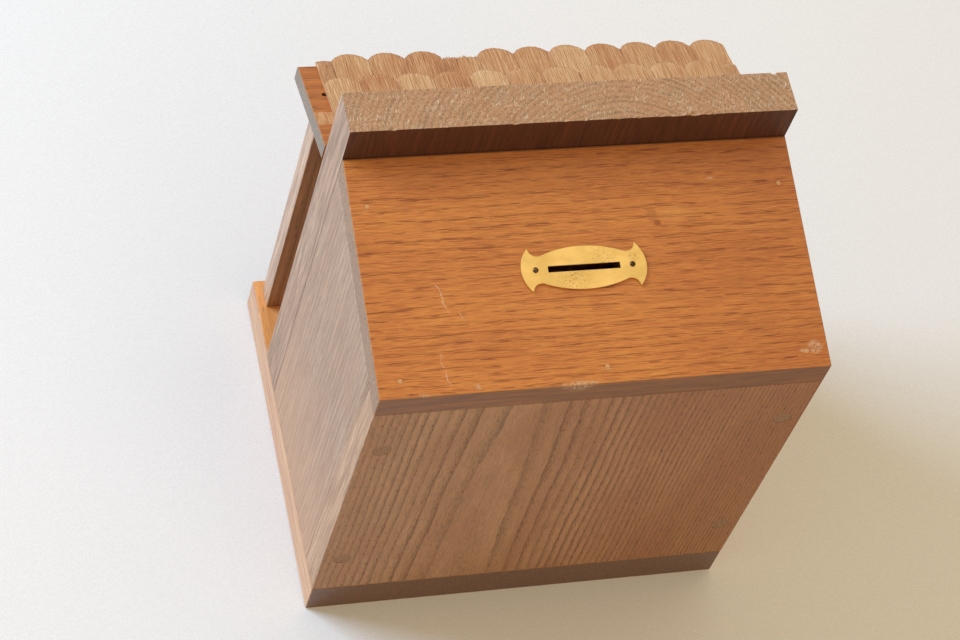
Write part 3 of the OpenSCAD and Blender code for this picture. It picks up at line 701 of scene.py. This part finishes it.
# %% The tree that makes fixings
def node_group(name, sizes, *meshes):
    """An empty Geometry Nodes tree with named inputs, and a lookup of what they give inside the tree."""
    group = bpy.data.node_groups.new(name, "GeometryNodeTree")
    group.interface.new_socket("Geometry", in_out="OUTPUT", socket_type="NodeSocketGeometry")
    kinds = dict.fromkeys(meshes, "Geometry") | dict.fromkeys(sizes, "Float")
    kinds |= {"Finish": "Material", "Seed": "Int"}
    for title, kind in kinds.items():
        group.interface.new_socket(title, in_out="INPUT", socket_type="NodeSocket" + kind)
    source = group.nodes.new("NodeGroupInput")
    group.nodes.new("NodeGroupOutput")
    return group, {title: source.outputs[title] for title in kinds}


def grow(mesh, group, values):
    """Runs a tree on a mesh with the given input values, and gives back a plain mesh."""
    holder = put("grown", mesh)
    modifier = holder.modifiers.new("grow", "NODES")
    modifier.node_group = group
    for item in group.interface.items_tree:
        if item.in_out == "INPUT" and item.name in values:
            modifier[item.identifier] = values[item.name]
    depsgraph = bpy.context.evaluated_depsgraph_get()
    grown = bpy.data.meshes.new_from_object(holder.evaluated_get(depsgraph), depsgraph=depsgraph)
    holder.modifiers.remove(modifier)
    bpy.data.objects.remove(holder)
    return grown


FIXING_SIZES = ["Head Radius", "Head Depth", "Shank Radius", "Length", "Dome", "Slot Width"]


def fixing_tree(slotted):
    """A tree that sets a headed fixing on every place. Each place holds the direction that its head faces."""
    tree, given = node_group("slotted_fixings" if slotted else "plain_fixings", FIXING_SIZES, "Places")
    head = add(tree, "GeometryNodeMeshCone", named={"Vertices": 40, "Side Segments": 3, "Fill Segments": 6,
               "Radius Top": given["Head Radius"], "Radius Bottom": given["Shank Radius"],
               "Depth": given["Head Depth"]}, out="Mesh")
    depth_down = add(tree, "MULTIPLY", given["Head Depth"], -1.0)
    lowered = add(tree, COMBINE, 0.0, 0.0, depth_down)
    head = add(tree, "GeometryNodeTransform", head, named={"Translation": lowered})
    place = add(tree, "GeometryNodeInputPosition")
    flat = add(tree, "ShaderNodeVectorMath", place, (1, 1, 0), operation="MULTIPLY")
    share = add(tree, "ShaderNodeVectorMath", flat, out=1, operation="LENGTH")
    share = add(tree, "DIVIDE", share, given["Head Radius"])
    rounded = add(tree, "SUBTRACT", 1.0, add(tree, "POWER", share, 2.0))
    rounded = add(tree, "POWER", add(tree, "MAXIMUM", rounded, 0.0), 0.5)
    lift = add(tree, "MULTIPLY", rounded, given["Dome"])
    level = add(tree, SEPARATE, place, out="Z")
    on_top = add(tree, "FunctionNodeCompare", level, -0.01 * MM, operation="GREATER_THAN")
    lifted = add(tree, COMBINE, 0.0, 0.0, lift)
    head = add(tree, "GeometryNodeSetPosition", head, on_top, named={"Offset": lifted})
    if slotted:
        blade = add(tree, COMBINE, add(tree, "MULTIPLY", given["Head Radius"], 4.0),
                    given["Slot Width"], given["Head Depth"])
        blade = add(tree, "GeometryNodeMeshCube", blade, out="Mesh")
        head = add(tree, "GeometryNodeMeshBoolean", head, blade, out="Mesh", operation="DIFFERENCE",
                   solver="EXACT")
    shank = add(tree, "GeometryNodeMeshCylinder", named={"Vertices": 20, "Radius": given["Shank Radius"],
                "Depth": given["Length"]}, out="Mesh")
    middle_down = add(tree, "MULTIPLY", given["Length"], -0.5)
    middle_down = add(tree, "SUBTRACT", middle_down, given["Head Depth"])
    lowered = add(tree, COMBINE, 0.0, 0.0, middle_down)
    shank = add(tree, "GeometryNodeTransform", shank, named={"Translation": lowered})
    join = tree.nodes.new("GeometryNodeJoinGeometry")
    tree.links.new(shank, join.inputs[0])
    tree.links.new(head, join.inputs[0])
    points = add(tree, "GeometryNodeMeshToPoints", given["Places"])
    facing = add(tree, "GeometryNodeInputNamedAttribute", "facing", data_type="FLOAT_VECTOR")
    turn = add(tree, "FunctionNodeAlignRotationToVector", named={"Vector": facing}, axis="Z")
    spin = add(tree, "FunctionNodeRandomValue", named={2: 0.0, 3: 6.283, "Seed": given["Seed"]}, out=1,
               data_type="FLOAT")
    spin = add(tree, "FunctionNodeEulerToRotation", add(tree, COMBINE, 0.0, 0.0, spin))
    turn = add(tree, "FunctionNodeRotateRotation", turn, spin, rotation_space="LOCAL")
    every = add(tree, "GeometryNodeInstanceOnPoints", points,
                named={"Instance": join.outputs[0], "Rotation": turn})
    real = add(tree, "GeometryNodeRealizeInstances", every)
    real = add(tree, "GeometryNodeSetMaterial", real, named={"Material": given["Finish"]})
    tree.links.new(real, tree.nodes["Group Output"].inputs[0])
    return tree


fixing_trees = {False: fixing_tree(False), True: fixing_tree(True)}
print("two trees of", [len(t.nodes) for t in fixing_trees.values()], "nodes")

# %% Set the fixings in place
def fixings(node, facing, body, material, sizes, lower, seed):
    """All the fixings of one measured part as one piece. The sizes are those of FIXING_SIZES, in mm."""
    places = head_places(node, facing)
    mesh = bpy.data.meshes.new(node + "_places")
    mesh.from_pydata([p - facing * lower * MM for p in places], [], [])
    aim_at = mesh.attributes.new("facing", "FLOAT_VECTOR", "POINT")
    aim_at.data.foreach_set("vector", [c for _ in places for c in facing])
    values = {title: size * MM for title, size in zip(FIXING_SIZES, sizes)}
    values |= {"Finish": material, "Seed": seed}
    slotted = sizes[-1] > 0
    grown = grow(mesh, fixing_trees[slotted], values)
    set_piece(node, grown, body)
    print(node, len(places), "set,", len(grown.polygons), "faces")


plug_wood = timber(
    "waxed_ash_plug", "Y", (60, 40), 3.4, "a87c56",
    [(0.0, "9a7150"), (0.3, "a27853"), (0.7, "aa7f59"), (1.0, "9a7150")],
    "9c7250", "6b4b33", "5c412c", gloss=0.6, wander=0.8, seed=8.0, ring_strength=0.6)
filler, tree, surface = new_material("pale_wood_filler")
where = add(tree, "ShaderNodeTexCoord", out="Object")
grains = add(tree, NOISE, named={"Vector": where, "Scale": 1800.0, "Detail": 3.0})
tone = add(tree, RAMP, grains, stops=[(0.3, "cf8f5a"), (0.7, "e0a873")])
normal = add(tree, "ShaderNodeBump", named={"Strength": 0.3, "Distance": 0.0002, "Height": grains})
plug(tree, surface, {"Base Color": tone, "Roughness": 0.7, "Normal": normal})

FRONT, RIGHT, BACK = Vector((0, -1, 0)), Vector((1, 0, 0)), Vector((0, 1, 0))
HINGE_SCREW = (1.95, 1.0, 1.0, 7.5, 0.0, 0.45)
fixings("front_plugs", FRONT, "box", plug_wood, (4.85, 1.0, 4.85, 6.8, 0.0, 0.0), 0.08, 2)
fixings("lid_nails", lid_up, "box", filler, (1.35, 0.7, 0.9, 20, 0.1, 0.0), 0.02, 3)
fixings("canopy_nails", canopy_up, "box", rust_nail, (1.45, 0.8, 0.9, 28, 0.15, 0.0), 0.1, 4)
fixings("slot_plate_pins", lid_up, "box", bronze_pin, (1.5, 0.12, 0.8, 8.8, 0.85, 0.0), 0.83, 5)
fixings("hinge_frame_screws", RIGHT, "box", brass_hinge, HINGE_SCREW, 0.0, 6)
fixings("hinge_door_screws", RIGHT, "door", brass_hinge, HINGE_SCREW, 0.0, 7)
fixings("base_screws", -UP, "box", steel, (3.9, 2.0, 2.0, 32, 0.0, 0.9), 0.0, 8)
fixings("back_screws", BACK, "box", steel, (3.9, 2.0, 2.0, 30, 0.0, 0.9), 0.0, 9)

# %% [markdown]
# ## Shingles
# Two courses of thin cedar shingles lie on the canopy. Each was sawn with a ribbed face and its tip cut
# round with a few straight strokes, so the tips look like half octagons. Tones differ from shingle to
# shingle, because they come from different parts of the log, and one in the lower course has lost its
# tip. A course follows a rule: equal joints, a common head line and a tip on an arc. Geometry Nodes turn
# that rule into a mesh, and the ribs are real relief. The joints of the upper course lie half a shingle
# to the side.

# %% The shingle rule
SHINGLE_SIZES = ["Pitch", "First Joint", "Start", "End", "Head", "Level", "Tip Radius", "Thickness", "Lift",
                 "Broken"]
TIP_CUTS = 6.0
HALF_JOINT = 0.12 * MM
RIB_DEPTH = 0.45 * MM
RIB_RATES = (1150.0, 16.0)
TIP_WEAR = 0.6 * MM
THINNING = 0.35 * MM


def shingle_tree():
    """A tree that lays one course in the flat: x along the eave, y down the slope, z up from the board."""
    tree, given = node_group("shingle_course", SHINGLE_SIZES)
    run = add(tree, "SUBTRACT", given["End"], given["First Joint"])
    count = add(tree, "CEIL", add(tree, "DIVIDE", run, given["Pitch"]))
    count = add(tree, "ADD", count, 1.0)
    line = add(tree, "GeometryNodeMeshLine", named={"Count": count}, mode="OFFSET")
    blank = add(tree, "GeometryNodeMeshCube", named={"Size": (1, 1, 1), "Vertices X": 61, "Vertices Y": 33,
                "Vertices Z": 3}, out="Mesh")
    own = add(tree, "GeometryNodeInputPosition")
    blank = add(tree, "GeometryNodeStoreNamedAttribute", blank, None, "within", own, data_type="FLOAT_VECTOR",
                domain="POINT")
    laid = add(tree, "GeometryNodeInstanceOnPoints", line, named={"Instance": blank})
    number = add(tree, "GeometryNodeInputIndex")
    tone = add(tree, "FunctionNodeRandomValue", named={"ID": number, "Seed": given["Seed"]}, out=1,
               data_type="FLOAT")
    for title, value in (("number", number), ("tone", tone)):
        laid = add(tree, "GeometryNodeStoreNamedAttribute", laid, None, title, value, data_type="FLOAT",
                   domain="INSTANCE")
    real = add(tree, "GeometryNodeRealizeInstances", laid)
    number, tone = (add(tree, "GeometryNodeInputNamedAttribute", title, data_type="FLOAT")
                    for title in ("number", "tone"))
    within = add(tree, "GeometryNodeInputNamedAttribute", "within", data_type="FLOAT_VECTOR")
    wide, down, up = (add(tree, "ADD", add(tree, SEPARATE, within, out=i), 0.5) for i in range(3))
    joint = add(tree, "MULTIPLY_ADD", number, given["Pitch"], given["First Joint"])
    right = add(tree, "SUBTRACT", add(tree, "MINIMUM", joint, given["End"]), HALF_JOINT)
    left = add(tree, "SUBTRACT", joint, given["Pitch"])
    left = add(tree, "ADD", add(tree, "MAXIMUM", left, given["Start"]), HALF_JOINT)
    half = add(tree, "MULTIPLY", add(tree, "SUBTRACT", right, left), 0.5)
    centre = add(tree, "MULTIPLY", add(tree, "ADD", right, left), 0.5)
    turn = add(tree, "ARCSINE", add(tree, "DIVIDE", half, given["Tip Radius"]))
    cut = add(tree, "MULTIPLY", wide, TIP_CUTS)
    first = add(tree, "FLOOR", add(tree, "MINIMUM", cut, TIP_CUTS - 0.001))
    part = add(tree, "SUBTRACT", cut, first)
    sides, drops = [], []
    for step in (0.0, 1.0):
        share = add(tree, "MULTIPLY_ADD", add(tree, "ADD", first, step), 2 / TIP_CUTS, -1.0)
        angle = add(tree, "MULTIPLY", turn, share)
        sides.append(add(tree, "SINE", angle))
        drops.append(add(tree, "COSINE", angle))
    aside = add(tree, MIX, part, named={2: sides[0], 3: sides[1]}, data_type="FLOAT")
    drop = add(tree, MIX, part, named={2: drops[0], 3: drops[1]}, data_type="FLOAT")
    drop = add(tree, "SUBTRACT", drop, add(tree, "COSINE", turn))
    x = add(tree, "MULTIPLY_ADD", aside, given["Tip Radius"], centre)
    tip = add(tree, "MULTIPLY_ADD", drop, given["Tip Radius"], given["Level"])
    splinter = add(tree, NOISE, named={"W": add(tree, "MULTIPLY", x, 420.0), "Detail": 3.0,
                                       "Roughness": 0.7}, noise_dimensions="1D")
    splinter = add(tree, "MULTIPLY", add(tree, "SUBTRACT", splinter, 0.62), 0.011)
    splinter = add(tree, "ADD", splinter, given["Level"])
    snapped = add(tree, "COMPARE", number, given["Broken"], 0.4)
    tip = add(tree, MIX, snapped, named={2: tip, 3: splinter}, data_type="FLOAT")
    y = add(tree, MIX, down, named={2: given["Head"], 3: tip}, data_type="FLOAT")
    thinner = add(tree, "MULTIPLY_ADD", tone, -THINNING, given["Thickness"])
    rib_place = [add(tree, "MULTIPLY", part, rate) for part, rate in zip((x, y), RIB_RATES)]
    ribs = add(tree, NOISE, named={"Vector": add(tree, COMBINE, *rib_place, number), "Detail": 1.0})
    ribs = add(tree, RANGE, ribs, 0.35, 0.62, 0.0, RIB_DEPTH)
    ribs = add(tree, "ADD", ribs, add(tree, RANGE, down, 0.955, 1.0, 0.0, TIP_WEAR))
    on_top = add(tree, "GREATER_THAN", up, 0.9)
    z = add(tree, "MULTIPLY_ADD", up, thinner, given["Lift"])
    z = add(tree, "SUBTRACT", z, add(tree, "MULTIPLY", ribs, on_top))
    real = add(tree, "GeometryNodeSetPosition", real, named={"Position": add(tree, COMBINE, x, y, z)})
    real = add(tree, "GeometryNodeSetMaterial", real, named={"Material": given["Finish"]})
    tree.links.new(real, tree.nodes["Group Output"].inputs[0])
    return tree


shingle_rule = shingle_tree()
print("the shingle rule has", len(shingle_rule.nodes), "nodes")

# %% Raw cedar
cedar, tree, surface = new_material("raw_sawn_cedar")
where = in_mm(tree, FALL)
parts = [add(tree, SEPARATE, where, out=i) for i in (0, 2, 1)]
tone = add(tree, "ShaderNodeAttribute", out="Fac", attribute_name="tone")
number = add(tree, "ShaderNodeAttribute", out="Fac", attribute_name="number")
within = add(tree, SEPARATE, add(tree, "ShaderNodeAttribute", out="Vector", attribute_name="within"), out="Y")
clouds = streaks(tree, parts, (14.0, 8.0, 26.0), 61.0, 3.0, 0.6)
mixed = add(tree, "MULTIPLY_ADD", clouds, 0.9, add(tree, "MULTIPLY_ADD", tone, 0.5, -0.22))
wood = add(tree, RAMP, mixed, stops=[(0.05, "d9b487"), (0.4, "cc9e6d"), (0.7, "c08859"), (1.0, "a5683f")])
ribs = streaks(tree, parts, (0.9, 1.2, 50.0), 63.0, 2.0, 0.6)
wood = blend(tree, fade(tree, ribs, 0.56, 0.66, 0.0, 0.42), wood, "9a6840")
wood = blend(tree, fade(tree, ribs, 0.46, 0.36, 0.0, 0.4), wood, "e4c59b")
fibres = streaks(tree, parts, (0.3, 0.5, 7.0), 65.0, 3.0, 0.7)
wood = shade(tree, 0.35, wood, fibres, "303030", "d0d0d0", "SOFT_LIGHT")
cut = fade(tree, add(tree, "MULTIPLY_ADD", fibres, 0.05, within), 0.48, 0.515)
wood = blend(tree, add(tree, "MULTIPLY", cut, 0.5), wood, "b98355")
height = add(tree, "MULTIPLY_ADD", ribs, -1.0, fibres)
normal = add(tree, "ShaderNodeBump", named={"Strength": 0.5, "Distance": 0.0003, "Height": height})
plug(tree, surface, {"Base Color": wood, "Roughness": 0.78, "Normal": normal})
print("raw cedar with a tone for each shingle")

# %% Lay both courses
eave_low, eave_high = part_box("canopy_board")
slope_origin = Vector((0, eave_low.y, eave_high.z))
lean_over = Matrix.Rotation(-FALL, 4, "X")
x_start, x_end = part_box("lower_shingles")[0].x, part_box("lower_shingles")[1].x
canopy_run = (eave_high.y - eave_low.y) / math.cos(FALL)
TIP, WIDE = 6.0 * MM, 20.4 * MM
for node, level, first, lift, broken, seed in [
        ("lower_shingles", canopy_run + 2 * MM, 8.35 * MM, 0.0, 4.0, 11),
        ("upper_shingles", canopy_run - 19.5 * MM, 8.35 * MM + WIDE / 2, 2 * MM, -5.0, 23)]:
    values = {"Pitch": WIDE, "First Joint": x_start + first, "Start": x_start - HALF_JOINT,
              "End": x_end + HALF_JOINT, "Head": 3 * MM, "Level": level,
              "Tip Radius": ((WIDE / 2) ** 2 + TIP ** 2) / (2 * TIP), "Thickness": 1.95 * MM,
              "Lift": lift, "Broken": broken, "Finish": cedar, "Seed": seed}
    grown = grow(bpy.data.meshes.new(node + "_course"), shingle_rule, values)
    grown.transform(Matrix.Translation(slope_origin) @ lean_over)
    set_piece(node, grown, "box")
    print(node, len(grown.vertices), "points")

# %% [markdown]
# ## The parts that keep their measured shape
# The lock's barrel and plug, the hinge pins and the hidden screws are turned parts whose measured shape
# is complete. They stay as they are and only take a finish.

# %% Finish the carried-over parts
for node, material in [("front_screws", steel), ("hinge_pins", brass_hinge), ("lock_barrel", nickel),
                       ("lock_plug", nickel), ("cam_screw", steel)]:
    nodes[node].data.materials.clear()
    nodes[node].data.materials.append(material)
print("five parts finished")

# %% [markdown]
# ## The measured size
# The measured box is printed once more.

# %% Print the measured size
print("measured", measured_box)
